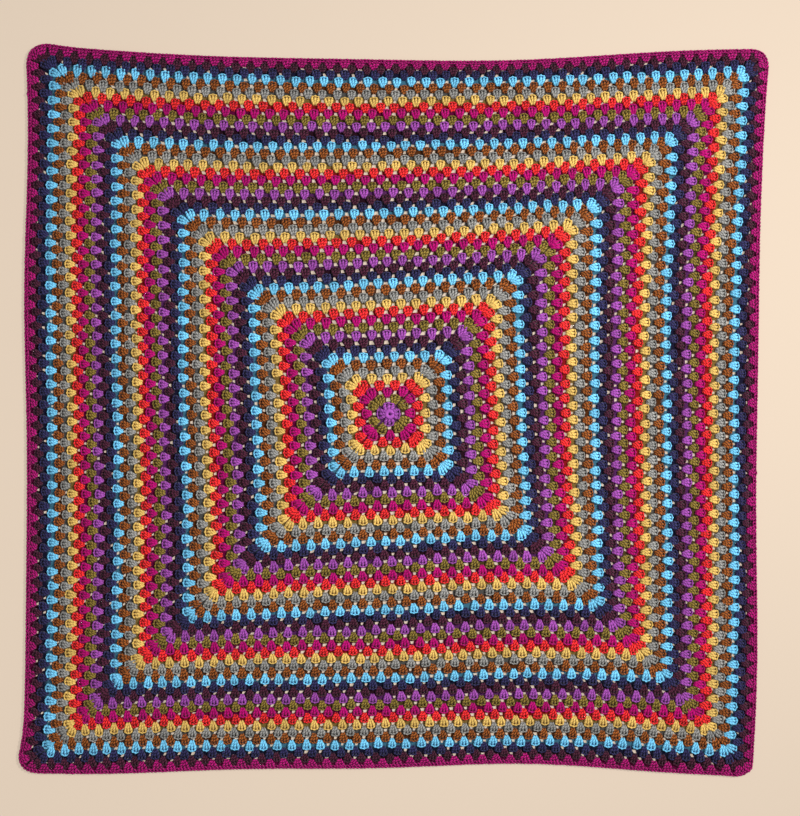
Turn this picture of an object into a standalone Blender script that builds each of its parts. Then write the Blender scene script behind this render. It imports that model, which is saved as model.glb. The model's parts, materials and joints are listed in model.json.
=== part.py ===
"""Granny square blanket, lying flat: one crocheted sheet worked from its centre outwards.

The blanket is 51 rounds of three-treble clusters. Round n has n clusters on each of its
four sides, so every round adds one cluster to a side and one row of spaces.
X runs to the right, Y up the blanket and Z up from the floor, in metres.
"""

import math

import bmesh
import bpy
import numpy as np

MM = 0.001

# Rounds of the square
LAST_ROUND = 51
OUTLINE_ROUND = 51.66      # the border's outer edge, counted in rounds from the centre
INNERMOST_ROUND = 0.5      # the ring of the first round starts here

# Where the four corners of a round lie, in millimetres from the centre of the square.
# Hand tension pulls the rounds a little out of square, so a few rounds are given and
# those between them follow in even steps.
# round            upper left    upper right   lower right   lower left
ROUND_CORNERS = [
    (0,             (0, 0),       (0, 0),       (0, 0),       (0, 0)),
    (8,             (-99, 87),    (89, 93),     (94, -88),    (-87, -92)),
    (18,            (-214, 195),  (200, 218),   (214, -189),  (-201, -209)),
    (28,            (-321, 310),  (321, 328),   (326, -298),  (-314, -317)),
    (38,            (-422, 425),  (440, 431),   (430, -410),  (-426, -419)),
    (48,            (-518, 534),  (549, 531),   (528, -523),  (-529, -523)),
    (OUTLINE_ROUND, (-561, 571),  (584, 563),   (559, -555),  (-565, -553)),
]

# How far a round bulges past the straight line between its corners, in millimetres, at
# the shares of each side in SWAY_SHARES. Negative is drawn in. Rounds nearer the centre
# than the first of SWAY_ROUNDS have straight sides.
SWAY_SHARES = (0.125, 0.25, 0.5, 0.75, 0.875)
SWAY_ROUNDS = (14, 28, 38, 48, OUTLINE_ROUND)
# side       round 28              round 38                round 48                 border
SIDE_SWAY = [
    ("top",    (-3, -5, -6, -4, -2), (-7, -12, -12, -9, -5), (-8, -14, -19, -14, -8), (-10, -17, -21, -14, -4)),
    ("right",  (-1, -3, -5, -3, -1), (-4, -7, -6, -2, -1),   (-3, -6, -5, 0, 1),      (-5, -7, -5, 1, 4)),
    ("bottom", (-4, -6, -4, -3, -2), (-7, -10, -6, -5, -3),  (-11, -17, -13, -9, -6), (-3, -14, -10, -5, 1)),
    ("left",   (-1, -1, 2, 2, 1),    (-2, -4, -2, 2, 2),     (-3, -4, -1, 4, 3),      (-3, -5, -4, -2, -5)),
]
SIDE_OUTWARD = [(0, 1), (1, 0), (0, -1), (-1, 0)]
CLOCKWISE_CREEP = 0.35      # of a cluster's width: how far the last round's spaces have crept
CREEP_AT_CORNERS = 0.45     # of that

# Height of the cloth: each round is a low rib, with a furrow between two rounds
RIB_HEIGHT = 4.2 * MM
FURROW_HEIGHT = 2.8 * MM
CENTRE_HEIGHT = 2.6 * MM
RIM_HEIGHT = 1.7 * MM       # where the border is widest, half way up its edge
SHOULDER_HEIGHT = 3.4 * MM
SHOULDER_INSET = 1.0 * MM
SOLE_INSET = 0.8 * MM
CORNER_REACH = (20 * MM, 14 * MM, 22 * MM, 18 * MM)   # where each rounded outer corner begins

# See-through spaces, which lie between two clusters of a round. The brown rounds show
# the widest ones, and every second of them is open here.
OPEN_ROUNDS = range(7, LAST_ROUND, 10)
SPACES_PER_OPENING = 2
OPENING_WIDTH = 6.4 * MM
OPENING_INNER_STEP = 0.46   # the opening reaches this share of a round below its own rib
OPENING_OUTER_STEP = 0.04

POINTS_PER_SIDE = 4         # steps along one side of a rib
POINTS_PER_BORDER_SIDE = 12
POINTS_PER_CORNER = 5

YARN_COLOUR = (0.36, 0.02, 0.13)   # the border's magenta, linear
YARN_ROUGHNESS = 0.9


def clear_scene():
    """Remove whatever the file started with."""
    for thing in list(bpy.data.objects):
        bpy.data.objects.remove(thing, do_unlink=True)


def corner(round_number, index):
    """Return one corner of a round, counted clockwise from the upper left."""
    rounds = [row[0] for row in ROUND_CORNERS]
    xs = [row[1 + index][0] for row in ROUND_CORNERS]
    ys = [row[1 + index][1] for row in ROUND_CORNERS]
    return np.array([np.interp(round_number, rounds, xs), np.interp(round_number, rounds, ys)]) * MM


def sway(round_number, side, share):
    """Return how far a side stands outside its straight line, at a share of its length.

    The side is a sum of smooth waves that passes through its given values.
    """
    given = [np.interp(round_number, SWAY_ROUNDS, (0, *values)) * MM for values in zip(*SIDE_SWAY[side][1:])]
    waves = np.arange(1, len(SWAY_SHARES) + 1) * math.pi
    strengths = np.linalg.solve(np.sin(np.outer(SWAY_SHARES, waves)), given)
    return float(np.sin(share * waves) @ strengths)


def place(round_number, side, share):
    """Return the point at a share of one side of a round, clockwise, as x and y."""
    start = corner(round_number, side)
    end = corner(round_number, (side + 1) % 4)
    outward = np.array(SIDE_OUTWARD[side], float)
    return start + (end - start) * share + outward * sway(round_number, side, share)


def side_length(round_number, side):
    """Return the straight length of one side of a round."""
    return float(np.linalg.norm(corner(round_number, (side + 1) % 4) - corner(round_number, side)))


def even_stations(points_per_side):
    """Return evenly spaced stations: whole numbers are corners, the rest shares of a side."""
    return [side + step / points_per_side for side in range(4) for step in range(points_per_side)]


def crept_share(round_number, share):
    """Return a share of a side after the crochet has crept clockwise, most in its middle."""
    swing = CREEP_AT_CORNERS + (1 - CREEP_AT_CORNERS) * math.sin(math.pi * share)
    return share + CLOCKWISE_CREEP * (round_number / LAST_ROUND) ** 2 * swing / round_number


def opening_stations(round_number):
    """Return the stations of an open round, and which of them start an opening."""
    stations = []
    starts_opening = []
    for side in range(4):
        half_width = 0.5 * OPENING_WIDTH / side_length(round_number, side)
        stations.append(side)
        starts_opening.append(False)
        for space in range(1, round_number, SPACES_PER_OPENING):
            middle = side + crept_share(round_number, space / round_number)
            stations += [middle - half_width, middle + half_width]
            starts_opening += [True, False]
    return stations, starts_opening


def add_ring(mesh, round_number, height, stations):
    """Add one ring of vertices and return pairs of station and vertex."""
    ring = []
    for station in stations:
        side = int(station)
        spot = place(round_number, side, station - side)
        ring.append((station, mesh.verts.new((spot[0], spot[1], height))))
    return ring


def add_border_ring(mesh, round_number, height, inset=0.0):
    """Add a ring whose four corners are rounded with a short arc."""
    ring = []
    for side in range(4):
        before = (side - 1) % 4
        reach = CORNER_REACH[side] / side_length(round_number, side)
        reach_before = CORNER_REACH[side] / side_length(round_number, before)
        arc_start = place(round_number, before, 1 - reach_before)
        arc_end = place(round_number, side, reach)
        tip = corner(round_number, side)
        for share in np.linspace(0, 1, POINTS_PER_CORNER):
            spot = arc_start * (1 - share) ** 2 + 2 * tip * share * (1 - share) + arc_end * share ** 2
            station = side + (share - 0.5) * 2 * reach
            ring.append((station, spot))
        for step in range(1, POINTS_PER_BORDER_SIDE):
            share = step / POINTS_PER_BORDER_SIDE
            ring.append((side + share, place(round_number, side, share)))
    placed = []
    for station, spot in ring:
        spot = spot * (1 - inset / np.linalg.norm(spot))
        placed.append((station, mesh.verts.new((spot[0], spot[1], height))))
    return placed


def join_rings(mesh, inner, outer):
    """Close the band between two rings that may have different numbers of points."""
    inner_turn = inner + [(inner[0][0] + 4, inner[0][1])]
    outer_turn = outer + [(outer[0][0] + 4, outer[0][1])]
    i = 0
    o = 0
    while i < len(inner) or o < len(outer):
        next_inner = inner_turn[i + 1][0] if i < len(inner) else math.inf
        next_outer = outer_turn[o + 1][0] if o < len(outer) else math.inf
        corners = [inner_turn[i][1]]
        if math.isclose(next_inner, next_outer, abs_tol=1e-9):
            corners += [outer_turn[o][1], outer_turn[o + 1][1], inner_turn[i + 1][1]]
            i += 1
            o += 1
        elif next_inner < next_outer:
            corners += [outer_turn[o][1], inner_turn[i + 1][1]]
            i += 1
        else:
            corners += [outer_turn[o][1], outer_turn[o + 1][1]]
            o += 1
        mesh.faces.new(corners)


def join_open_rings(mesh, top_inner, top_outer, sole_inner, sole_outer, starts_opening):
    """Close the band of an open round above and below, and wall its openings."""
    count = len(top_inner)
    for index in range(count):
        follow = (index + 1) % count
        inner_top = [top_inner[index][1], top_inner[follow][1]]
        outer_top = [top_outer[index][1], top_outer[follow][1]]
        inner_sole = [sole_inner[index][1], sole_inner[follow][1]]
        outer_sole = [sole_outer[index][1], sole_outer[follow][1]]
        if starts_opening[index]:
            mesh.faces.new([inner_top[0], inner_top[1], inner_sole[1], inner_sole[0]])
            mesh.faces.new([outer_top[0], outer_top[1], outer_sole[1], outer_sole[0]])
            mesh.faces.new([inner_top[0], outer_top[0], outer_sole[0], inner_sole[0]])
            mesh.faces.new([inner_top[1], outer_top[1], outer_sole[1], inner_sole[1]])
        else:
            mesh.faces.new([inner_top[0], outer_top[0], outer_top[1], inner_top[1]])
            mesh.faces.new([inner_sole[0], outer_sole[0], outer_sole[1], inner_sole[1]])


def build_cloth(mesh):
    """Build the whole cloth ring by ring, from its centre to its border."""
    plain = even_stations(POINTS_PER_SIDE)
    top = add_ring(mesh, INNERMOST_ROUND, CENTRE_HEIGHT, plain)
    mesh.faces.new([vertex for station, vertex in top])
    sole = None
    openings = 0
    for round_number in range(1, LAST_ROUND + 1):
        if round_number in OPEN_ROUNDS:
            inner_round = round_number - OPENING_INNER_STEP
            outer_round = round_number - OPENING_OUTER_STEP
            stations, starts_opening = opening_stations(round_number)
            openings += sum(starts_opening)
            top_inner = add_ring(mesh, inner_round, FURROW_HEIGHT, stations)
            top_outer = add_ring(mesh, outer_round, RIB_HEIGHT, stations)
            sole_inner = add_ring(mesh, inner_round, 0.0, stations)
            sole_outer = add_ring(mesh, outer_round, 0.0, stations)
            join_rings(mesh, top, top_inner)
            if sole is None:
                mesh.faces.new([vertex for station, vertex in sole_inner])
            else:
                join_rings(mesh, sole, sole_inner)
            join_open_rings(mesh, top_inner, top_outer, sole_inner, sole_outer, starts_opening)
            top = top_outer
            sole = sole_outer
            continue
        if round_number > 1:
            furrow = add_ring(mesh, round_number - 0.5, FURROW_HEIGHT, plain)
            join_rings(mesh, top, furrow)
            top = furrow
        rib = add_ring(mesh, round_number, RIB_HEIGHT, plain)
        join_rings(mesh, top, rib)
        top = rib
    shoulder = add_border_ring(mesh, OUTLINE_ROUND, SHOULDER_HEIGHT, SHOULDER_INSET)
    rim = add_border_ring(mesh, OUTLINE_ROUND, RIM_HEIGHT)
    sole_edge = add_border_ring(mesh, OUTLINE_ROUND, 0.0, SOLE_INSET)
    join_rings(mesh, top, shoulder)
    join_rings(mesh, shoulder, rim)
    join_rings(mesh, rim, sole_edge)
    join_rings(mesh, sole, sole_edge)
    bmesh.ops.recalc_face_normals(mesh, faces=mesh.faces)
    return openings


def centre_on_floor(mesh):
    """Move the cloth so that the middle of its box stands on the origin."""
    xs = [vertex.co.x for vertex in mesh.verts]
    ys = [vertex.co.y for vertex in mesh.verts]
    shift = (-(min(xs) + max(xs)) / 2, -(min(ys) + max(ys)) / 2, 0.0)
    bmesh.ops.translate(mesh, verts=mesh.verts, vec=shift)


def yarn_material():
    """Return the plain matt finish of the wool-like yarn."""
    material = bpy.data.materials.new("crochet yarn")
    material.use_nodes = True
    shader = material.node_tree.nodes["Principled BSDF"]
    shader.inputs["Base Color"].default_value = (*YARN_COLOUR, 1.0)
    shader.inputs["Roughness"].default_value = YARN_ROUGHNESS
    shader.inputs["Metallic"].default_value = 0.0
    return material


def main():
    """Make the blanket as one object."""
    clear_scene()
    mesh = bmesh.new()
    openings = build_cloth(mesh)
    centre_on_floor(mesh)
    data = bpy.data.meshes.new("blanket")
    mesh.to_mesh(data)
    mesh.free()
    blanket = bpy.data.objects.new("blanket", data)
    bpy.context.collection.objects.link(blanket)
    data.materials.append(yarn_material())
    print(f"blanket with {openings} openings, {len(data.vertices)} points and {len(data.polygons)} faces")


main()
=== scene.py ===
# %% [markdown]
# A granny square blanket, stitch by stitch
#
# The real blanket is crocheted from double-knitting yarn. It is one granny square that was never
# stopped: 51 rounds worked outwards from the middle, each in the next of ten colours. A round is
# made of clusters of three treble stitches, and each cluster is hooked into the space between two
# clusters of the round before.
#
# One way to make it is a flat sheet with a picture of stitches on it, but such a sheet looks
# printed as soon as the light comes from the side. Here every treble is a short piece of yarn
# with real thickness, Geometry Nodes set the clusters out round by round, and a thin sheet in
# painted shade under them closes the cloth except where the real one can be seen through.

# %% Load the imported frame
import json
import math

import bmesh
import bpy
import numpy as np
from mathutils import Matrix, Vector

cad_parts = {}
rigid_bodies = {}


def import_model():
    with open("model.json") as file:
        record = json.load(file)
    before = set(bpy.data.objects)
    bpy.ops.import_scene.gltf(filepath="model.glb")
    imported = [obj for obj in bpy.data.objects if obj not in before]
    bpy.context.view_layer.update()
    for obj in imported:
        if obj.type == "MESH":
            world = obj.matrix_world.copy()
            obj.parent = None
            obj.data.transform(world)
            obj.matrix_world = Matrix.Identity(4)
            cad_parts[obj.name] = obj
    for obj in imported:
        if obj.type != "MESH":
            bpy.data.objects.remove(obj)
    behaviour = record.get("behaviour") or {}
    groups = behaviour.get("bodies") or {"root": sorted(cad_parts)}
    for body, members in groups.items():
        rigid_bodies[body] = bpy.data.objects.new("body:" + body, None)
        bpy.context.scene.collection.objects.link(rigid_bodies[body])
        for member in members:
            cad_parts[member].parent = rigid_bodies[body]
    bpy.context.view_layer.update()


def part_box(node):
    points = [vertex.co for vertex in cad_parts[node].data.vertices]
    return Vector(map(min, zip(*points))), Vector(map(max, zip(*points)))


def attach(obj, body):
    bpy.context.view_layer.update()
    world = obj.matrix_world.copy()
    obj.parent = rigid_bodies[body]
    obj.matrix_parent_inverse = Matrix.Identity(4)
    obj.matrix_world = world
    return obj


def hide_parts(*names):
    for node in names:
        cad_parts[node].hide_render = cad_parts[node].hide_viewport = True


MM = 0.001
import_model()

# %% [markdown]
# The camera comes first, so that every later look at the blanket is from the right place.
# The photograph was taken from straight above. Each of its pixels covers about 1.54 mm of the
# cloth, and that, the lens and the sensor give the camera's height. Blender measures the sensor
# along the longer side of the picture, which is its height here.

# %% Put the camera above the blanket
PICTURE_HEIGHT = 816           # pixels
MM_PER_PIXEL = 1.54
PICTURE_MIDDLE = (10.2, 3.1)   # mm from the middle of the blanket
LENS = 70                      # mm
SENSOR = 36                    # mm

camera_data = bpy.data.cameras.new("camera")
camera_data.lens = LENS
camera_data.sensor_width = SENSOR
camera = bpy.data.objects.new("camera", camera_data)
bpy.context.scene.collection.objects.link(camera)
camera_height = PICTURE_HEIGHT * MM_PER_PIXEL * MM * LENS / SENSOR
camera.location = (PICTURE_MIDDLE[0] * MM, PICTURE_MIDDLE[1] * MM, camera_height)
bpy.context.scene.camera = camera
print("camera height", round(camera_height, 3), "m")

# %% [markdown]
# Colours are written as the hex values that a painter or a web page uses. Blender mixes light in
# linear values, so one function turns every hex colour into linear red, green and blue.
# A second function adds a shader or geometry node, fills its inputs and links it. An input that
# is given a socket is linked to it, and any other value is typed into it.

# %% Helpers for colours and nodes
def linear(hex_colour):
    """Return an sRGB hex colour as linear red, green, blue and full alpha."""
    parts = [int(hex_colour[start:start + 2], 16) / 255 for start in (1, 3, 5)]
    return (*[c / 12.92 if c <= 0.04045 else ((c + 0.055) / 1.055) ** 2.4 for c in parts], 1.0)


def add_node(tree, kind, inputs=None, **settings):
    """Add a node, set its properties, and fill or link its inputs."""
    node = tree.nodes.new(kind)
    for name, value in settings.items():
        setattr(node, name, value)
    for key, value in (inputs or {}).items():
        if isinstance(key, int):
            target = node.inputs[key]
        else:
            target = next(socket for socket in node.inputs if socket.name == key and socket.enabled)
        if isinstance(value, bpy.types.NodeSocket):
            tree.links.new(value, target)
        else:
            target.default_value = value
    return node


def add_object(name, data):
    """Put a mesh or a light into the scene as an object."""
    thing = bpy.data.objects.new(name, data)
    bpy.context.scene.collection.objects.link(thing)
    return thing


print("mid grey in linear light is", round(linear("#808080")[0], 3))

# %% [markdown]
# The floor is a plain sheet of milky cream acrylic that glows a little by itself, as a light table
# does, so that it stays pale in the small spaces of the crochet. The main light is a soft lamp to
# the right, about forty degrees up, which gives each stitch a bright and a dark side. A honeycomb
# grid in front of it keeps its light together, so the corners of the picture are a little darker,
# and a pale room fills the shadows. The Standard view keeps the yarn colours as they are given.

# %% Floor and light
FLOOR_SIZE = 40.0              # m
FLOOR_BELOW = 0.0003           # m under the cloth, so that the two don't share a plane
FLOOR_COLOUR = "#F0DCC6"
FLOOR_REFLECTS = 0.31          # of the colour above
FLOOR_GLOWS = 0.56             # of the colour above
LAMP_PLACE = (3.4, 1.5, 3.1)   # m
LAMP_AIM = (0.25, 0.1, 0.0)    # m
LAMP_SIZE = 0.75               # m
LAMP_SPREAD = 40               # degrees, let through by the grid
LAMP_POWER = 15                # W
ROOM_LIGHT = 0.48

bpy.context.scene.view_settings.view_transform = "Standard"

floor_mesh = bpy.data.meshes.new("floor")
half = FLOOR_SIZE / 2
floor_corners = ((-half, -half), (half, -half), (half, half), (-half, half))
floor_mesh.from_pydata([(x, y, -FLOOR_BELOW) for x, y in floor_corners], [], [(0, 1, 2, 3)])
floor = add_object("floor", floor_mesh)
milky = bpy.data.materials.new("milky cream acrylic sheet")
milky.use_nodes = True
milky_inputs = milky.node_tree.nodes["Principled BSDF"].inputs
floor_colour = linear(FLOOR_COLOUR)
milky_inputs["Base Color"].default_value = (*[FLOOR_REFLECTS * c for c in floor_colour[:3]], 1.0)
milky_inputs["Emission Color"].default_value = floor_colour
milky_inputs["Emission Strength"].default_value = FLOOR_GLOWS
milky_inputs["Roughness"].default_value = 0.9
floor_mesh.materials.append(milky)

lamp_data = bpy.data.lights.new("soft lamp", "AREA")
lamp_data.shape = "DISK"
lamp_data.size = LAMP_SIZE
lamp_data.energy = LAMP_POWER
lamp_data.spread = math.radians(LAMP_SPREAD)
lamp_data.color = (1.0, 0.97, 0.93)
lamp = add_object("soft lamp", lamp_data)
lamp.location = LAMP_PLACE
lamp.rotation_mode = "QUATERNION"
lamp.rotation_quaternion = (lamp.location - Vector(LAMP_AIM)).to_track_quat("Z", "Y")

room = bpy.data.worlds.new("pale room")
room.use_nodes = True
room.node_tree.nodes["Background"].inputs["Color"].default_value = (1.0, 0.98, 0.96, 1.0)
room.node_tree.nodes["Background"].inputs["Strength"].default_value = ROOM_LIGHT
bpy.context.scene.world = room
print("lamp of", LAMP_POWER, "W at", LAMP_PLACE)

# %% [markdown]
# Every stitch needs to know where it lies. A granny square has a simple map: round n has n
# clusters along each of its four sides. A real one is never quite square, because the tension of
# the yarn changes while it is made, so the map is bent. A short table gives the corners of a few
# rounds, another how far the sides bulge or draw in, and everything between them is worked out.
# A place is given by its round and its station: the whole part of a station is the side, counted
# clockwise from the top, and the rest is the share of that side.

# %% The map of the rounds
LAST_ROUND = 51
OUTLINE_ROUND = 51.66          # the outer edge, counted in rounds
CORNER_REACH = (31, 26, 22, 23)   # mm, where each rounded outer corner begins
CLOCKWISE_CREEP = 0.35         # of a cluster's width: how far the last round has crept round
CREEP_AT_CORNERS = 0.45        # of that
CORNER_CLEARANCE = 1.1         # of a corner's reach, where a side has no points of its own

# round            upper left    upper right   lower right   lower left, in mm from the middle
ROUND_CORNERS = [
    (0,             (0, 0),       (0, 0),       (0, 0),       (0, 0)),
    (1,             (-16, 14),    (13, 15),     (14, -13),    (-15, -13)),
    (4,             (-53, 46),    (45, 49),     (48, -46),    (-47, -48)),
    (8,             (-100, 88),   (90, 94),     (94, -89),    (-88, -93)),
    (18,            (-214, 195),  (200, 218),   (214, -189),  (-201, -209)),
    (28,            (-321, 310),  (321, 328),   (326, -298),  (-314, -317)),
    (38,            (-422, 425),  (440, 431),   (430, -410),  (-426, -419)),
    (48,            (-518, 534),  (549, 531),   (528, -523),  (-529, -523)),
    (OUTLINE_ROUND, (-561, 570),  (584, 562),   (558, -557),  (-566, -552)),
]
SWAY_SHARES = (0.125, 0.25, 0.5, 0.75, 0.875)
SWAY_ROUNDS = (14, 28, 38, 48, OUTLINE_ROUND)
# The side, and how far out it stands at each share, in mm: at round 28, at 38, at 48 and at the border.
SIDE_SWAY = [
    ("top", (-3, -5, -6, -4, -2), (-7, -12, -12, -9, -5), (-8, -14, -19, -14, -8), (-10, -17, -21, -14, -4)),
    ("right", (-1, -3, -5, -3, -1), (-4, -7, -6, -2, -1), (-3, -6, -5, 0, 1), (-5, -7, -5, 1, 4)),
    ("bottom", (-4, -6, -4, -3, -2), (-7, -10, -6, -5, -3), (-11, -17, -13, -9, -6), (-5, -15, -10, -5, 1)),
    ("left", (-1, -1, 2, 2, 1), (-2, -4, -2, 2, 2), (-3, -4, -1, 4, 3), (-4, -5, -4, -2, -5)),
]
SIDE_OUTWARD = [(0, 1), (1, 0), (0, -1), (-1, 0)]
# Each side of the border stands out a little where it starts, just after its corner.
SIDE_EARS = (5, 2, 2, 9)       # mm
EAR_LENGTH = 0.04              # of the side's length
EAR_ROUNDS = (48, OUTLINE_ROUND)   # where an ear begins and where it is whole
# The last rounds aren't evenly spaced: each of these rounds lies where the second number says.
# round          lies at
LAST_SPACING = [
    (0,             0),
    (48,            48),
    (49,            49.2),
    (50,            50.2),
    (51,            51.05),
    (OUTLINE_ROUND, OUTLINE_ROUND),
]


def corner(rounds, index):
    """Return one corner of each round as x and y in metres."""
    given = [row[0] for row in ROUND_CORNERS]
    xs = np.interp(rounds, given, [row[1 + index][0] for row in ROUND_CORNERS])
    ys = np.interp(rounds, given, [row[1 + index][1] for row in ROUND_CORNERS])
    return np.stack([xs, ys], -1) * MM


def sway(rounds, side, shares):
    """Return how far a side stands outside its straight line, in metres.

    The side is a sum of smooth waves that passes through its given values.
    """
    given = [np.interp(rounds, SWAY_ROUNDS, (0, *values)) * MM for values in zip(*SIDE_SWAY[side][1:])]
    waves = np.arange(1, len(SWAY_SHARES) + 1) * math.pi
    strengths = np.linalg.inv(np.sin(np.outer(SWAY_SHARES, waves))) @ np.array(given)
    ear = SIDE_EARS[side] * MM * np.interp(rounds, EAR_ROUNDS, (0, 1))
    ear = ear * np.exp(-(shares / EAR_LENGTH) ** 2)
    return (np.sin(np.multiply.outer(waves, shares)) * strengths).sum(0) + ear


def place(rounds, stations):
    """Return the x and y of stations, before the blanket is centred."""
    rounds = np.interp(rounds, *zip(*LAST_SPACING))
    rounds, stations = np.broadcast_arrays(np.asarray(rounds, float), np.asarray(stations, float))
    sides = np.floor(stations).astype(int) % 4
    shares = stations % 1.0
    spots = np.zeros((*stations.shape, 2))
    for side in range(4):
        here = sides == side
        start = corner(rounds[here], side)
        end = corner(rounds[here], (side + 1) % 4)
        bulge = sway(rounds[here], side, shares[here])[..., None] * np.array(SIDE_OUTWARD[side])
        spots[here] = start + (end - start) * shares[here][..., None] + bulge
    return spots


def side_length(round_number, side):
    """Return the straight length of one side of a round in metres."""
    return float(np.linalg.norm(corner(round_number, (side + 1) % 4) - corner(round_number, side)))


def border(round_number, steps_per_side, steps_per_corner):
    """Return the stations and spots of a round whose corners are rounded off."""
    stations = []
    spots = []
    for side in range(4):
        reach = CORNER_REACH[side] * MM / side_length(round_number, side)
        reach_before = CORNER_REACH[side] * MM / side_length(round_number, (side - 1) % 4)
        arc_start = place(round_number, side - reach_before)
        arc_end = place(round_number, side + reach)
        ear = sway(round_number, side, reach) * np.array(SIDE_OUTWARD[side])
        tip = corner(round_number, side) + ear
        for share in np.linspace(0, 1, steps_per_corner):
            bent = arc_start * (1 - share) ** 2 + 2 * tip * share * (1 - share) + arc_end * share ** 2
            stations.append(side + (share - 0.5) * 2 * reach)
            spots.append(bent)
        reach_after = CORNER_REACH[(side + 1) % 4] * MM / side_length(round_number, side)
        for step in range(1, steps_per_side):
            share = step / steps_per_side
            if CORNER_CLEARANCE * reach < share < 1 - CORNER_CLEARANCE * reach_after:
                stations.append(side + share)
                spots.append(place(round_number, side + share))
    return stations, np.array(spots)


def crept(round_number, shares):
    """Return shares of a side after the clusters have crept clockwise, most in its middle."""
    swing = CREEP_AT_CORNERS + (1 - CREEP_AT_CORNERS) * np.sin(math.pi * shares)
    return shares + CLOCKWISE_CREEP * (round_number / LAST_ROUND) ** 2 * swing / round_number


outline = border(OUTLINE_ROUND, steps_per_side=12, steps_per_corner=5)[1]
node_low, node_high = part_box("blanket")
CENTRE = (np.array([*node_low][:2]) + np.array([*node_high][:2]) - outline.min(0) - outline.max(0)) / 2
blanket_size = (outline.max(0) - outline.min(0)) / MM
print("blanket of", np.round(blanket_size), "mm, moved by", np.round(CENTRE / MM, 1), "mm")

# %% [markdown]
# The yarn is acrylic double-knitting wool: a matt, slightly hairy strand about 3 mm thick,
# spun from four thin plies. The eye sees soft colour without shine, a light bloom of loose fibres
# at grazing angles, and dark creases where the strand wraps round itself in each treble. The
# creases are dents in the bump and painted shade in the colour, and each ply is painted lighter
# and darker as well as raised. The pattern follows the strand, so it reads the yarn coordinates
# that each treble carries: the first runs across the strand from 0 to 1, the second along it in
# millimetres.

# %% The yarn material
WRAP_SPACING = 4.4             # mm from one wrap of the strand to the next, along a treble
WRAP_SLANT = 0.75              # of a wrap's spacing, climbed from the left edge to the right
PLY_SPACING = 2.4              # mm, drawn twice as coarse as a real ply so that it shows
FIBRE_GRAIN = 0.9              # mm
# Painted shade: brightest on top of a wrap, darker in the creases, lighter and darker per ply.
WRAP_TONE = 1.12               # brightness on top of a wrap
PLY_DEPTH = 0.1                # brightness, up and down with each ply
CREASE_FROM = 0.1              # a crease begins where the wave of the wraps passes this
CREASE_TO = 0.95               # and is as dark as it gets here
DYE_RANGE = (0.85, 1.15)       # brightness, from cluster to cluster
FIBRE_RANGE = (0.6, 1.4)       # brightness, from fibre to fibre
PLY_RELIEF = 0.25              # height of a ply's wave, as a share of a crease's depth
RELIEF_DEPTH = 0.45            # mm, a crease's depth in the bump


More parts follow.
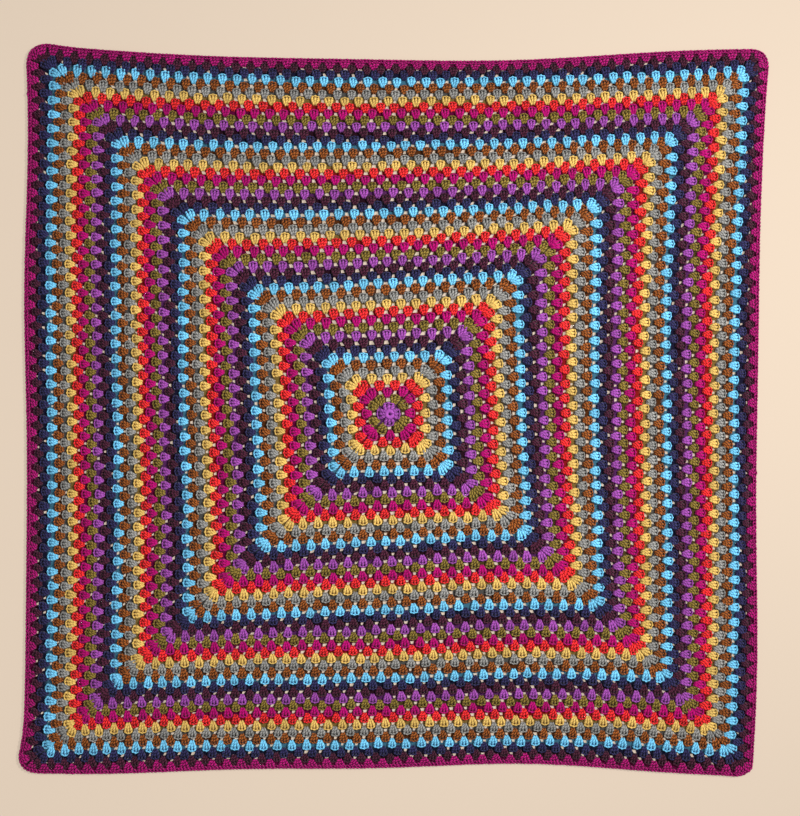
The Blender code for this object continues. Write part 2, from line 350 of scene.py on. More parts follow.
def yarn_material(name, hex_colour, crease_shade_share):
    """Return matt yarn: wraps and plies in painted shade, fibres, and a slightly different dye per cluster.
    """
    material = bpy.data.materials.new(name)
    material.use_nodes = True
    tree = material.node_tree
    tree.nodes.clear()
    strand = add_node(tree, "ShaderNodeUVMap", uv_map="yarn")
    axes = add_node(tree, "ShaderNodeSeparateXYZ", {0: strand.outputs["UV"]})
    across = axes.outputs["X"]
    along = axes.outputs["Y"]

    climb = add_node(
        tree, "ShaderNodeMath",
        {0: across, 1: -WRAP_SLANT * WRAP_SPACING, 2: along}, operation="MULTIPLY_ADD",
    )
    wrap_turn = add_node(
        tree, "ShaderNodeMath", {0: climb.outputs[0], 1: math.tau / WRAP_SPACING}, operation="MULTIPLY"
    )
    wrap_wave = add_node(tree, "ShaderNodeMath", {0: wrap_turn.outputs[0]}, operation="SINE")
    crease = add_node(
        tree, "ShaderNodeMapRange",
        {"Value": wrap_wave.outputs[0], "From Min": CREASE_FROM, "From Max": CREASE_TO},
        interpolation_type="SMOOTHSTEP",
    )
    ply_climb = add_node(
        tree, "ShaderNodeMath", {0: across, 1: PLY_SPACING, 2: along}, operation="MULTIPLY_ADD"
    )
    ply_turn = add_node(
        tree, "ShaderNodeMath", {0: ply_climb.outputs[0], 1: math.tau / PLY_SPACING}, operation="MULTIPLY"
    )
    ply_wave = add_node(tree, "ShaderNodeMath", {0: ply_turn.outputs[0]}, operation="SINE")

    spot = add_node(tree, "ShaderNodeTexCoord")
    fibres = add_node(
        tree, "ShaderNodeTexNoise",
        {"Vector": spot.outputs["Object"], "Scale": 1 / (FIBRE_GRAIN * MM), "Detail": 2.0},
    )
    dye = add_node(tree, "ShaderNodeAttribute", attribute_name="shade")

    dye_tone = add_node(
        tree, "ShaderNodeMapRange",
        {"Value": dye.outputs["Fac"], "To Min": DYE_RANGE[0], "To Max": DYE_RANGE[1]},
    )
    fibre_tone = add_node(
        tree, "ShaderNodeMapRange",
        {"Value": fibres.outputs["Fac"], "To Min": FIBRE_RANGE[0], "To Max": FIBRE_RANGE[1]},
    )
    tone = add_node(
        tree, "ShaderNodeMath", {0: dye_tone.outputs[0], 1: fibre_tone.outputs[0]}, operation="MULTIPLY"
    )
    # Painted shade: the creases darken the colour, and each ply brightens and darkens it.
    crease_shaded_tone = add_node(
        tree, "ShaderNodeMath",
        {0: crease.outputs[0], 1: -crease_shade_share, 2: WRAP_TONE}, operation="MULTIPLY_ADD",
    )
    painted_shade_tone = add_node(
        tree, "ShaderNodeMath",
        {0: ply_wave.outputs[0], 1: PLY_DEPTH, 2: crease_shaded_tone.outputs[0]}, operation="MULTIPLY_ADD",
    )
    shade = add_node(
        tree, "ShaderNodeMath", {0: tone.outputs[0], 1: painted_shade_tone.outputs[0]}, operation="MULTIPLY"
    )
    colour = add_node(
        tree, "ShaderNodeMix",
        {0: 1.0, "A": linear(hex_colour), "B": shade.outputs[0]},
        data_type="RGBA", blend_type="MULTIPLY",
    )

    relief = add_node(
        tree, "ShaderNodeMath",
        {0: ply_wave.outputs[0], 1: PLY_RELIEF, 2: fibres.outputs["Fac"]}, operation="MULTIPLY_ADD",
    )
    relief_all = add_node(
        tree, "ShaderNodeMath", {0: relief.outputs[0], 1: crease.outputs[0]}, operation="SUBTRACT"
    )
    bump = add_node(
        tree, "ShaderNodeBump",
        {"Height": relief_all.outputs[0], "Distance": RELIEF_DEPTH * MM, "Strength": 0.8},
    )
    shader = add_node(
        tree, "ShaderNodeBsdfPrincipled",
        {
            "Base Color": colour.outputs[2],
            "Roughness": 0.88,
            "Specular IOR Level": 0.15,
            "Sheen Weight": 0.15,
            "Sheen Roughness": 0.4,
            "Normal": bump.outputs[0],
        },
    )
    add_node(tree, "ShaderNodeOutputMaterial", {"Surface": shader.outputs[0]})
    return material


# The crease shade is painted into the colour: the share of light lost between two wraps. Pale yarn
# passes light on from strand to strand, so its painted creases are soft, and dark yarn swallows it.
# slot                colour     shade    first round
YARNS = [
    ("violet_yarn",    "#994AA6", 0.50,    1),
    ("olive_yarn",     "#857131", 0.90,    2),
    ("magenta_yarn",   "#AC036A", 0.50,    3),
    ("red_yarn",       "#EB2C30", 0.90,    4),
    ("gold_yarn",      "#D8B462", 0.35,    5),
    ("grey_yarn",      "#90908E", 0.65,    6),
    ("brown_yarn",     "#925122", 1.05,    7),
    ("sky_blue_yarn",  "#73C7F0", 0.45,    8),
    ("navy_yarn",      "#2F2E59", 0.95,    9),
    ("aubergine_yarn", "#4B1E34", 1.05,    10),
]
# The border is a darker copy of the magenta yarn with deeper creases: painted shade, as less
# light gets between its strands.
BORDER_SHADED_COLOUR = "#A7136D"
BORDER_CREASE_SHADE = 1.05
yarn_look = {
    slot: yarn_material(f"acrylic double knitting {slot}", colour, painted_creases)
    for slot, colour, painted_creases, first in YARNS
}
yarn_look["border"] = yarn_material("magenta yarn in painted shade", BORDER_SHADED_COLOUR, BORDER_CREASE_SHADE)
print(len(yarn_look), "yarns")

# %% [markdown]
# A treble is a post of wrapped yarn. Three posts start from one space and fan out side by side, and
# their heads make a scalloped arch over the top, which leaves two dark dots just below it. Each
# strand could be a curve with a round bevel, but there are twenty-one thousand of them, so each is
# a tube of a few rings with a flat sole that the sheet hides. Four slightly different clusters are
# made, so that neighbours don't match.

# %% One cluster of three trebles
# place       out     spread  top    half width, in mm
POST = [
    ("foot",     -10.9,  1.3,    3.0,   1.3),
    ("ankle",     -8.4,  2.1,    3.9,   1.9),
    ("body",      -4.8,  3.4,    4.4,   2.25),
    ("wrap",      -1.4,  4.4,    4.5,   2.5),
    ("throat",     1.9,  4.6,    3.1,   1.7),
]
OUTER_POSTS_LOWER = 0.8        # mm
# place              along   out     top    half width, in mm
ARCH = [
    ("left end",      -6.2,  -0.4,    3.0,   0.9),
    ("left lobe",     -4.8,   2.2,    4.3,   1.7),
    ("left dip",      -2.4,   3.1,    3.5,   0.9),
    ("middle lobe",    0.0,   3.6,    4.5,   1.75),
    ("right dip",      2.4,   3.2,    3.5,   0.9),
    ("right lobe",     4.8,   2.3,    4.3,   1.7),
    ("right end",      6.3,  -0.2,    3.0,   0.9),
]
YARN_PROFILE = [(-1.0, 0.0), (-0.6, 1.0), (0.6, 1.0), (1.0, 0.0)]
YARN_SOLE = 1.0                # mm above the floor, just inside the sheet
CLUSTER_KINDS = 4
CLUSTER_SEED = 40
WANDER_ALONG = 0.25            # mm, how far a strand's points may lie off their place
WANDER_OUT = 0.3               # mm
WANDER_UP = 0.2                # mm
STRAND_WIDTHS = (0.94, 1.08)   # of the half width


def tube(path, half_widths, tops, start_along=0.0):
    """Return the points, faces and yarn coordinates of a strand along a path of x and y."""
    path = np.array(path, float)
    ahead = np.gradient(path, axis=0)
    ahead /= np.linalg.norm(ahead, axis=1, keepdims=True)
    right = np.stack([ahead[:, 1], -ahead[:, 0]], 1)
    lengths = np.linalg.norm(np.diff(path, axis=0), axis=1)
    along = start_along + np.concatenate([[0], np.cumsum(lengths)])
    points = []
    yarn = []
    for row, spot in enumerate(path):
        for reach, rise in YARN_PROFILE:
            flat = spot + right[row] * half_widths[row] * reach
            points.append((flat[0], flat[1], YARN_SOLE + (tops[row] - YARN_SOLE) * rise))
            yarn.append(((reach + 1) / 2, along[row]))
    sides = len(YARN_PROFILE)
    last = (len(path) - 1) * sides
    faces = [tuple(reversed(range(sides))), tuple(range(last, last + sides))]
    for row in range(len(path) - 1):
        for side in range(sides):
            near = row * sides
            follow = (side + 1) % sides
            faces.append((near + side, near + follow, near + sides + follow, near + sides + side))
    return points, faces, yarn


def strands_mesh(name, strands):
    """Join strands into one mesh with smooth faces and yarn coordinates."""
    points = []
    faces = []
    yarn = []
    for strand_points, strand_faces, strand_yarn in strands:
        faces += [tuple(index + len(points) for index in face) for face in strand_faces]
        points += [tuple(value * MM for value in point) for point in strand_points]
        yarn += strand_yarn
    mesh = bpy.data.meshes.new(name)
    mesh.from_pydata(points, [], faces)
    layer = mesh.uv_layers.new(name="yarn")
    for loop in mesh.loops:
        layer.data[loop.index].uv = yarn[loop.vertex_index]
    mesh.shade_smooth()
    return mesh


def uneven_tube(rows, random):
    """Return a strand along rows of along, out, top and half width, a little unevenly."""
    path = []
    tops = []
    half_widths = []
    for along, out, top, half_width in rows:
        off_along = random.uniform(-WANDER_ALONG, WANDER_ALONG)
        off_out = random.uniform(-WANDER_OUT, WANDER_OUT)
        path.append((along + off_along, out + off_out))
        tops.append(top + random.uniform(-WANDER_UP, WANDER_UP))
        half_widths.append(half_width * random.uniform(*STRAND_WIDTHS))
    return tube(path, half_widths, tops, random.uniform(0, WRAP_SPACING))


def cluster_mesh(kind):
    """Make one kind of cluster, with its own small unevenness."""
    random = np.random.default_rng(CLUSTER_SEED + kind)
    strands = []
    for post in (-1, 0, 1):
        lower = OUTER_POSTS_LOWER * abs(post)
        rows = []
        for title, out, spread, top, half_width in POST:
            rows.append((post * spread, out - lower, top, half_width))
        strands.append(uneven_tube(rows, random))
    strands.append(uneven_tube([row[1:] for row in ARCH], random))
    return strands_mesh(f"cluster {kind}", strands)


stitch_kit = bpy.data.collections.new("clusters to copy")
bpy.context.scene.collection.children.link(stitch_kit)
for kind in range(CLUSTER_KINDS):
    stitch_kit.objects.link(bpy.data.objects.new(f"cluster_{kind}", cluster_mesh(kind)))
cluster_faces = sum(len(face.vertices) - 2 for face in stitch_kit.objects[0].data.polygons)
print(CLUSTER_KINDS, "kinds of cluster,", cluster_faces, "triangles each")

# %% [markdown]
# Five thousand clusters repeat along the rounds, which is work for Geometry Nodes. The script
# gives the nodes one point for each cluster, with its turn and its stretch, and the tree puts one
# of the four clusters on each point, adds a little unevenness, and makes the copies real, because
# an export drops copies. The same tree later sets out the stitches of the edge.

# %% The tree that sets stitches out
def stitch_tree():
    """Return a tree that puts stitches on points that carry a turn and a stretch."""
    tree = bpy.data.node_groups.new("set stitches out", "GeometryNodeTree")
    for name, kind in (
        ("Geometry", "NodeSocketGeometry"),
        ("Stitches", "NodeSocketCollection"),
        ("Kinds", "NodeSocketInt"),
        ("Turn Unevenness", "NodeSocketFloat"),
        ("Size Unevenness", "NodeSocketFloat"),
        ("Seed", "NodeSocketInt"),
        ("Yarn", "NodeSocketMaterial"),
    ):
        tree.interface.new_socket(name, in_out="INPUT", socket_type=kind)
    tree.interface.new_socket("Geometry", in_out="OUTPUT", socket_type="NodeSocketGeometry")
    given = add_node(tree, "NodeGroupInput").outputs
    kit = add_node(
        tree, "GeometryNodeCollectionInfo",
        {"Collection": given["Stitches"], "Separate Children": True, "Reset Children": True},
    )
    last_kind = add_node(tree, "ShaderNodeMath", {0: given["Kinds"], 1: 1.0}, operation="SUBTRACT")
    pick = add_node(
        tree, "FunctionNodeRandomValue",
        {"Min": 0, "Max": last_kind.outputs[0], "Seed": given["Seed"]},
        data_type="INT",
    )
    sway_of_hand = add_node(
        tree, "FunctionNodeRandomValue",
        {"Min": (-0.5, -0.5, -1.0), "Max": (0.5, 0.5, 1.0), "Seed": given["Seed"]},
        data_type="FLOAT_VECTOR",
    )
    uneven_turn = add_node(
        tree, "ShaderNodeVectorMath",
        {0: sway_of_hand.outputs[0], "Scale": given["Turn Unevenness"]},
        operation="SCALE",
    )
    turn = add_node(tree, "GeometryNodeInputNamedAttribute", {"Name": "turn"}, data_type="FLOAT")
    upright = add_node(tree, "ShaderNodeCombineXYZ", {"Z": turn.outputs[0]})
    whole_turn = add_node(
        tree, "ShaderNodeVectorMath", {0: upright.outputs[0], 1: uneven_turn.outputs[0]}, operation="ADD"
    )
    rotation = add_node(tree, "FunctionNodeEulerToRotation", {0: whole_turn.outputs[0]})
    next_seed = add_node(tree, "ShaderNodeMath", {0: given["Seed"], 1: 100.0}, operation="ADD")
    size_of_hand = add_node(
        tree, "FunctionNodeRandomValue",
        {"Min": (-1.0, -1.0, -1.0), "Max": (1.0, 1.0, 1.0), "Seed": next_seed.outputs[0]},
        data_type="FLOAT_VECTOR",
    )
    uneven_size = add_node(
        tree, "ShaderNodeVectorMath",
        {0: size_of_hand.outputs[0], "Scale": given["Size Unevenness"]},
        operation="SCALE",
    )
    stretch = add_node(
        tree, "GeometryNodeInputNamedAttribute", {"Name": "stretch"}, data_type="FLOAT_VECTOR"
    )
    size = add_node(
        tree, "ShaderNodeVectorMath", {0: stretch.outputs[0], 1: uneven_size.outputs[0]}, operation="ADD"
    )
    copies = add_node(
        tree, "GeometryNodeInstanceOnPoints",
        {
            "Points": given["Geometry"],
            "Instance": kit.outputs[0],
            "Pick Instance": True,
            "Instance Index": pick.outputs[2],
            "Rotation": rotation.outputs[0],
            "Scale": size.outputs[0],
        },
    )
    real = add_node(tree, "GeometryNodeRealizeInstances", {"Geometry": copies.outputs[0]})
    coloured = add_node(
        tree, "GeometryNodeSetMaterial", {"Geometry": real.outputs[0], "Material": given["Yarn"]}
    )
    add_node(tree, "NodeGroupOutput", {"Geometry": coloured.outputs[0]})
    return tree


STITCH_TREE = stitch_tree()


def set_stitches(name, spots, turns, stretches, kit, yarn, seed, turn_unevenness, size_unevenness):
    """Run the tree on points and return the stitches as one plain mesh object."""
    points = bpy.data.meshes.new(name)
    points.from_pydata([(x, y, 0.0) for x, y in spots], [], [])
    random = np.random.default_rng(seed)
    for title, kind, field, values in (
        ("turn", "FLOAT", "value", turns),
        ("shade", "FLOAT", "value", random.uniform(0, 1, len(spots))),
        ("stretch", "FLOAT_VECTOR", "vector", np.array(stretches)),
    ):
        layer = points.attributes.new(title, kind, "POINT")
        layer.data.foreach_set(field, np.asarray(values, np.float32).ravel())
    holder = add_object(name, points)
    work = holder.modifiers.new("stitches", "NODES")
    work.node_group = STITCH_TREE
    sockets = [item for item in STITCH_TREE.interface.items_tree if item.in_out == "INPUT"]
    socket_ids = {item.name: item.identifier for item in sockets}
    for title, value in (
        ("Stitches", kit),
        ("Kinds", len(kit.objects)),
        ("Turn Unevenness", turn_unevenness),
        ("Size Unevenness", size_unevenness),
        ("Seed", seed),
        ("Yarn", yarn),
    ):
        work[socket_ids[title]] = value
    bpy.context.view_layer.update()
    depsgraph = bpy.context.evaluated_depsgraph_get()
    mesh = bpy.data.meshes.new_from_object(holder.evaluated_get(depsgraph), depsgraph=depsgraph)
    holder.modifiers.remove(work)
    holder.data = mesh
    bpy.data.meshes.remove(points)
    mesh.name = name
    for title in ("turn", "stretch"):
        mesh.attributes.remove(mesh.attributes[title])
    return holder


print("tree with", len(STITCH_TREE.nodes), "nodes")

# %% [markdown]
# Now each yarn gets its clusters. A cluster looks outwards from its side of the square. The two at
# a corner are hooked into the same corner space, so they lean towards the diagonal. A round is
# wider or narrower than the next by a few tenths of a millimetre, and the clusters stretch with it.

# %% Clusters for every round
CLUSTER_PITCH = 21.3           # mm from one cluster to the next, at which a cluster isn't stretched
ROUND_PITCH = 11.2             # mm from one round to the next
CORNER_LEAN = math.radians(20)
TURN_UNEVENNESS = math.radians(5)
SIZE_UNEVENNESS = 0.05
SPOT_UNEVENNESS = 0.7          # mm
LAST_ROUND_WIDTH = 1.15        # its clusters have no neighbours beyond them and spread out
CORNER_PULL = (4.5, 3, 1, 2)   # mm, how far the last round's corner clusters draw in
LOOK_ASIDE = 0.01              # of the side, to the two places that give a cluster its turn
ROUNDS_SEED = 300


def cluster_points(rounds):
    """Return where the clusters of some rounds lie, their turns and their stretches."""
    random = np.random.default_rng(ROUNDS_SEED + rounds[0])
    spots = []
    turns = []
    stretches = []
    for round_number in rounds:
        shares = crept(round_number, (np.arange(round_number) + 0.5) / round_number)
        lean = np.zeros(round_number)
        if round_number > 1:
            lean[0] += CORNER_LEAN
            lean[-1] -= CORNER_LEAN
        for side in range(4):
            here = place(round_number, side + shares)
            left = place(round_number, side + np.maximum(shares - LOOK_ASIDE, 0))
            # A whole station belongs to the next side, so this stops just before it.
            right = place(round_number, side + np.minimum(shares + LOOK_ASIDE, 0.9999))
            way = right - left
            angle = np.arctan2(way[:, 1], way[:, 0])
            inner = place(round_number - 0.5, side + shares)
            outer = place(round_number + 0.5, side + shares)
            round_pitch = np.linalg.norm(outer - inner, axis=1) / (ROUND_PITCH * MM)
            width = side_length(round_number, side) / round_number / (CLUSTER_PITCH * MM)
            if round_number == LAST_ROUND:
                width *= LAST_ROUND_WIDTH
                for end, index in ((0, side), (-1, (side + 1) % 4)):
                    here[end] *= 1 - CORNER_PULL[index] * MM / np.linalg.norm(here[end])
            spots.append(here + random.normal(0, SPOT_UNEVENNESS * MM, here.shape))
            turns.append(angle + lean)
            wide = np.full(round_number, width)
            stretches.append(np.stack([wide, 0.5 + 0.5 * round_pitch, np.ones(round_number)], 1))
    return np.concatenate(spots) + CENTRE, np.concatenate(turns), np.concatenate(stretches)


yarn_rounds = {}
for slot, colour, painted_creases, first in YARNS:
    yarn_rounds[slot] = list(range(first, LAST_ROUND, len(YARNS)))
yarn_rounds["border"] = [LAST_ROUND]
pieces = {}
for seed, (slot, rounds) in enumerate(yarn_rounds.items()):
    spots, turns, stretches = cluster_points(rounds)
    pieces[slot] = set_stitches(
        f"{slot}_clusters", spots, turns, stretches, stitch_kit, yarn_look[slot],
        seed, TURN_UNEVENNESS, SIZE_UNEVENNESS,
    )
    print(slot, "rounds", rounds, "clusters", len(spots), "faces", len(pieces[slot].data.polygons))

# %% [markdown]
# The blanket began with a loop of yarn that the first four clusters were hooked round. It shows as
# a smooth ring in the middle with a pinhole in it. A torus would do, but a strand bent round with
# its two ends in each other has the flat sole and the soft shoulders of the stitches.

# %% The ring it began with
LOOP_RADIUS = 4.9              # mm, to the middle of the strand
LOOP_HALF_WIDTH = 3.5
LOOP_TOP = 4.8
LOOP_STEPS = 20

loop_turns = np.linspace(0, math.tau * (1 + 0.5 / LOOP_STEPS), LOOP_STEPS + 1)
loop_path = np.stack([np.cos(loop_turns), np.sin(loop_turns)], 1) * LOOP_RADIUS + CENTRE / MM
loop_rows = len(loop_turns)
loop_mesh = strands_mesh(
    "starting_ring", [tube(loop_path, [LOOP_HALF_WIDTH] * loop_rows, [LOOP_TOP] * loop_rows)]
)
# It isn't wrapped, so all of its yarn coordinates lie on top of one wrap.
for place_on_yarn in loop_mesh.uv_layers["yarn"].data:
    place_on_yarn.uv = (0.5, 0.5 * WRAP_SLANT * WRAP_SPACING - 0.25 * WRAP_SPACING)
loop_shade = loop_mesh.attributes.new("shade", "FLOAT", "POINT")
loop_shade.data.foreach_set("value", np.ones(len(loop_mesh.vertices), np.float32))
loop_mesh.materials.append(yarn_look["violet_yarn"])
pieces["starting_ring"] = add_object("starting_ring", loop_mesh)
print("starting ring", 2 * (LOOP_RADIUS + LOOP_HALF_WIDTH), "mm across")

# %% [markdown]
# The last round ends in a row of chain loops that shows as small slanted stitches along the edge:
# three for the heads of each cluster and one for the chain between two clusters. Each stitch is
# a V of two short strands lying along the edge, and the next one starts inside its mouth.

# %% The stitches along the edge
STITCHES_PER_CLUSTER = 4
EDGE_ROUND = 51.3
EDGE_PITCH = 5.5               # mm, at which an edge stitch isn't stretched
EDGE_LOOK_AHEAD = 1.5          # mm, to the place that an edge stitch points at
EDGE_TURN_UNEVENNESS = math.radians(4)
EDGE_SIZE_UNEVENNESS = 0.06
EDGE_KINDS = 2
EDGE_SEED = 70
EDGE_POINTS_SEED = 91
EDGE_LEG_HIGHER = 0.5          # mm, of the inner leg above the outer one
# place along   aside   top   half width, in mm
EDGE_LEG = [
    (-3.0,       0.4,    2.8,   0.9),
    (-1.2,       1.5,    3.7,   1.35),
    (1.4,        2.2,    3.9,   1.5),
    (3.6,        2.0,    3.0,   1.1),
]


def edge_stitch_mesh(kind):
    """Make one V of two strands that opens along the edge."""
    random = np.random.default_rng(EDGE_SEED + kind)
    strands = []
    for way in (-1, 1):
        path = [(along, way * aside + random.uniform(-0.2, 0.2)) for along, aside, top, width in EDGE_LEG]
        tops = [top + (EDGE_LEG_HIGHER if way < 0 else 0.0) for along, aside, top, width in EDGE_LEG]
        widths = [width * random.uniform(0.95, 1.08) for along, aside, top, width in EDGE_LEG]
        strands.append(tube(path, widths, tops, random.uniform(0, WRAP_SPACING)))
    return strands_mesh(f"edge stitch {kind}", strands)


edge_kit = bpy.data.collections.new("edge stitches to copy")
bpy.context.scene.collection.children.link(edge_kit)
for kind in range(EDGE_KINDS):
    edge_kit.objects.link(bpy.data.objects.new(f"edge_stitch_{kind}", edge_stitch_mesh(kind)))

stitch_count = LAST_ROUND * STITCHES_PER_CLUSTER
edge_stations, edge_line = border(EDGE_ROUND, steps_per_side=60, steps_per_corner=9)
edge_stations = np.append(edge_stations, edge_stations[0] + 4)
edge_line = np.concatenate([edge_line, edge_line[:1]])
steps = np.linalg.norm(np.diff(edge_line, axis=0), axis=1)
walked = np.concatenate([[0], np.cumsum(steps)])
edge_count = 4 * stitch_count
stops = (np.arange(edge_count) + 0.5) / edge_count * walked[-1]
edge_spots = np.stack([np.interp(stops, walked, edge_line[:, axis]) for axis in (0, 1)], 1)
ahead = stops + EDGE_LOOK_AHEAD * MM
edge_ways = np.stack([np.interp(ahead, walked, edge_line[:, axis]) for axis in (0, 1)], 1) - edge_spots
edge_turns = np.arctan2(edge_ways[:, 1], edge_ways[:, 0])
edge_stretch = np.tile([walked[-1] / edge_count / (EDGE_PITCH * MM), 1.0, 1.0], (edge_count, 1))
pieces["edge"] = set_stitches(
    "edge_stitches", edge_spots + CENTRE, edge_turns, edge_stretch, edge_kit, yarn_look["border"],
    EDGE_POINTS_SEED, EDGE_TURN_UNEVENNESS, EDGE_SIZE_UNEVENNESS,
)
print(edge_count, "edge stitches,", round(walked[-1], 2), "m of edge")

# %% [markdown]
# Between the clusters the real cloth is dark: there the eye looks down on the sides of stitches
# and on the strands that join them, in shade. A thin sheet under the clusters stands for that, and
# its dark colour is painted shade. It is made ring by ring with the same map, above and below, and
# it is cut through where the real cloth shows what it lies on: beyond the top of a cluster, between
# two clusters of the next round.
# Hand tension decides how open those spaces are, so each side has its own chance and width.

# %% The sheet under the stitches
SHEET_TOP = 1.2 * MM
SHEET_EDGE_ROUND = 51.4
# side      share open at rounds 5, 15, 25, 35, 45     width in mm, from and to in rounds below the rib
SPACES = [
    ("top",    (1.00, 1.00, 0.90, 0.72, 0.48), 7.2, 0.55, 0.04),
    ("right",  (0.82, 0.74, 0.70, 0.58, 0.42), 5.8, 0.50, 0.11),
    ("bottom", (1.00, 0.75, 0.76, 0.70, 0.59), 6.9, 0.52, 0.08),
    ("left",   (0.82, 0.44, 0.38, 0.38, 0.36), 5.2, 0.48, 0.11),
]
CHANCE_ROUNDS = (5, 15, 25, 35, 45)
SPACE_WIDTHS = (0.75, 1.25)    # of the width, from the smallest space to the largest
SMALL_SPACE_SHORTER = 0.08     # rounds, by which the smallest space is shorter
FAR_END_WIDTH = 0.6            # of the width, where the next cluster's foot begins
BORDER_WIDTH = 0.75            # of the width, at the last round
PLAIN_BAND = (0.5, 0.04)       # from and to in rounds below the rib, where no space is open
LAST_BAND = (0.7, 0.65)        # the same for the last round
PLAIN_STEPS = 12               # of a side where no space is open
STEP_CLEARANCE = 0.3           # of such a step, kept free on both sides of a space's middle
SHEET_SEED = 7
SAME_STATION = 1e-9            # two stations closer than this are one
CAD_OPEN_ROUNDS = range(7, LAST_ROUND, 10)
rounds_to_slot = {number: slot for slot, numbers in yarn_rounds.items() for number in numbers}
slot_colour = {slot: colour for slot, colour, painted_creases, first in YARNS}
slot_colour["border"] = BORDER_SHADED_COLOUR


def open_spaces(round_number, random):
    """Return a ring as rows of inner station, outer station, inner round, outer round, opens."""
    rows = []
    narrowing = 1 - (1 - BORDER_WIDTH) * round_number / LAST_ROUND
    # The last ring stops further in, so that its sharp corners stay inside the rounded edge.
    band_below, band_above = LAST_BAND if round_number == LAST_ROUND else PLAIN_BAND
    plain = (round_number - band_below, round_number - band_above, False)
    for side, (title, chances, width, below, above) in enumerate(SPACES):
        rows.append((side, side, *plain))
        chance = np.interp(round_number, CHANCE_ROUNDS, chances)
        middles = []
        for space in range(1, round_number):
            draw, size = random.uniform(0, 1, 2)
            in_cad = round_number in CAD_OPEN_ROUNDS and space % 2 == 1
            if round_number == LAST_ROUND or (draw > chance and not in_cad):
                continue
            uneven = SPACE_WIDTHS[0] + (SPACE_WIDTHS[1] - SPACE_WIDTHS[0]) * size
            space_width = width * uneven * narrowing * MM
            half_width = 0.5 * space_width / side_length(round_number, side)
            middle = crept(round_number, space / round_number)
            middles.append(middle)
            shorter = SMALL_SPACE_SHORTER * (1 - size)
            opening = (round_number - below, round_number - above - shorter)
            for way, opens in ((-1, True), (1, False)):
                inner_station = side + middle + way * half_width
                outer_station = side + middle + way * half_width * FAR_END_WIDTH
                rows.append((inner_station, outer_station, *opening, opens))
        for step in range(1, PLAIN_STEPS):
            share = step / PLAIN_STEPS
            if all(abs(share - middle) > STEP_CLEARANCE / PLAIN_STEPS for middle in middles):
                rows.append((side + share, side + share, *plain))
    return zip(*sorted(rows))


def add_ring(points, tints, spots, height, slot):
    """Add a ring of points at a height and return their numbers."""
    first = len(points)
    points += [(x, y, height) for x, y in spots]
    tints += [linear(slot_colour[slot])] * len(spots)
    return list(range(first, len(points)))


def join_rings(faces, inner, outer):
    """Close the band between two rings of (station, point) that may differ in number."""
    inner_turn = inner + [(inner[0][0] + 4, inner[0][1])]
    outer_turn = outer + [(outer[0][0] + 4, outer[0][1])]
    i = 0
    o = 0
    while i < len(inner) or o < len(outer):
        next_inner = inner_turn[i + 1][0] if i < len(inner) else math.inf
        next_outer = outer_turn[o + 1][0] if o < len(outer) else math.inf
        if abs(next_inner - next_outer) < SAME_STATION:
            faces.append((inner_turn[i][1], outer_turn[o][1], outer_turn[o + 1][1], inner_turn[i + 1][1]))
            i += 1
            o += 1
        elif next_inner < next_outer:
            faces.append((inner_turn[i][1], outer_turn[o][1], inner_turn[i + 1][1]))
            i += 1
        else:
            faces.append((inner_turn[i][1], outer_turn[o][1], outer_turn[o + 1][1]))
            o += 1


def sheet_mesh():
    """Make the sheet with its spaces, closed above, below and round every space."""
    random = np.random.default_rng(SHEET_SEED)
    points = []
    tints = []
    faces = []
    opened = 0
    before = {}
    for round_number in range(1, LAST_ROUND + 1):
        slot = rounds_to_slot[round_number]
        inner_stations, outer_stations, inner, outer, starts = open_spaces(round_number, random)
        opened += sum(starts)
        rings = {}
        for level, height in (("top", SHEET_TOP), ("sole", 0.0)):
            for title, stations, rounds in (
                ("inner", inner_stations, inner),
                ("outer", outer_stations, outer),
            ):
                spots = place(np.array(rounds), np.array(stations)) + CENTRE
                numbers = add_ring(points, tints, spots, height, slot)
                rings[level, title] = list(zip(stations, numbers))
            if round_number == 1:
                faces.append([number for station, number in rings[level, "inner"]])
            else:
                join_rings(faces, before[level], rings[level, "inner"])
        count = len(starts)
        for index in range(count):
            follow = (index + 1) % count
            near = {key: (ring[index][1], ring[follow][1]) for key, ring in rings.items()}
            a, b = near["top", "inner"]
            c, d = near["top", "outer"]
            e, f = near["sole", "inner"]
            g, h = near["sole", "outer"]
            if starts[index]:
                faces += [(a, b, f, e), (c, d, h, g), (a, c, g, e), (b, d, h, f)]
            else:
                faces += [(a, c, d, b), (e, g, h, f)]
        before = {level: rings[level, "outer"] for level in ("top", "sole")}
    edge = {}
    stations, spots = border(SHEET_EDGE_ROUND, steps_per_side=48, steps_per_corner=7)
    for level, height in (("top", SHEET_TOP), ("sole", 0.0)):
        numbers = add_ring(points, tints, spots + CENTRE, height, "border")
        edge[level] = list(zip(stations, numbers))
        join_rings(faces, before[level], edge[level])
    join_rings(faces, edge["top"], edge["sole"])
    mesh = bpy.data.meshes.new("sheet_under_stitches")
    mesh.from_pydata(points, [], faces)
    layer = mesh.attributes.new("yarn_colour", "FLOAT_COLOR", "POINT")
    layer.data.foreach_set("color", np.array(tints, np.float32).ravel())
    work = bmesh.new()
    work.from_mesh(mesh)
    bmesh.ops.recalc_face_normals(work, faces=work.faces)
    work.to_mesh(mesh)
    work.free()
    print("sheet with", opened, "open spaces and", len(mesh.polygons), "faces")
    return mesh


sheet = add_object("sheet_under_stitches", sheet_mesh())
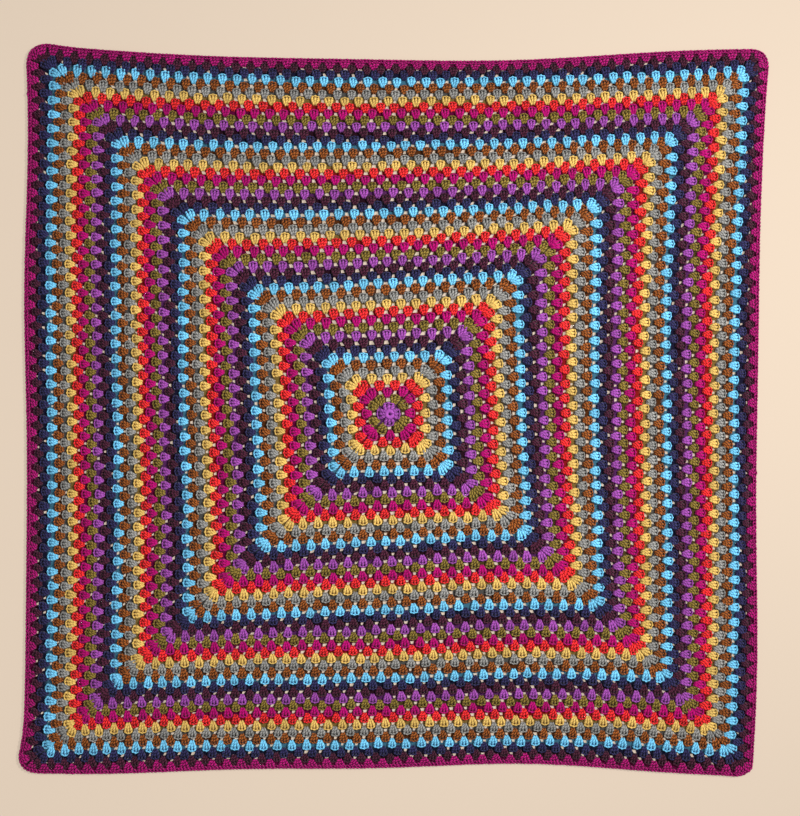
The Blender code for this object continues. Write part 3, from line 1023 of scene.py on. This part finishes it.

# %% [markdown]
# The sheet stands for the same yarn in its own shade: strands that no light reaches directly. Its
# colour is painted shade: each round's colour from an attribute, much darker than on the stitches,
# and a fine grain.

# %% Painted shade on the sheet below
# Painted shade: the sheet shows each yarn much darker than on the stitches.
SHADE_DEPTH = 0.22             # of the yarn's own brightness
SHADE_RANGE = (0.6, 1.4)       # of that, from grain to grain
SHADE_GRAIN = 1.6              # mm

shaded = bpy.data.materials.new("yarn in painted shade between stitches")
shaded.use_nodes = True
tree = shaded.node_tree
tree.nodes.clear()
yarn_colour = add_node(tree, "ShaderNodeAttribute", attribute_name="yarn_colour")
spot = add_node(tree, "ShaderNodeTexCoord")
grain = add_node(
    tree, "ShaderNodeTexNoise",
    {"Vector": spot.outputs["Object"], "Scale": 1 / (SHADE_GRAIN * MM), "Detail": 1.0},
)
depth = add_node(
    tree, "ShaderNodeMapRange",
    {
        "Value": grain.outputs["Fac"],
        "To Min": SHADE_RANGE[0] * SHADE_DEPTH,
        "To Max": SHADE_RANGE[1] * SHADE_DEPTH,
    },
)
# Painted shade: each round's yarn colour darkened by the grained shade depth.
dark = add_node(
    tree, "ShaderNodeMix",
    {0: 1.0, "A": yarn_colour.outputs["Color"], "B": depth.outputs[0]},
    data_type="RGBA", blend_type="MULTIPLY",
)
strands_in_painted_shade = add_node(
    tree, "ShaderNodeBsdfPrincipled",
    {"Base Color": dark.outputs[2], "Roughness": 0.95, "Specular IOR Level": 0.1},
)
add_node(tree, "ShaderNodeOutputMaterial", {"Surface": strands_in_painted_shade.outputs[0]})
sheet.data.materials.append(shaded)
print("sheet under the stitches is", SHADE_DEPTH, "as bright as the yarn")

# %% [markdown]
# Everything moves with the one body, and the sheet with its stitches stands for the CAD blanket,
# which is hidden.

for collection in (stitch_kit, edge_kit):
    for thing in list(collection.objects):
        bpy.data.objects.remove(thing, do_unlink=True)
    bpy.data.collections.remove(collection)
bpy.data.node_groups.remove(STITCH_TREE)

for slot, piece in pieces.items():
    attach(piece, "root")
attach(sheet, "root")
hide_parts("blanket")
triangles = 0
for piece in (sheet, *pieces.values()):
    triangles += sum(len(face.vertices) - 2 for face in piece.data.polygons)
print(len(pieces) + 1, "pieces,", triangles, "triangles")
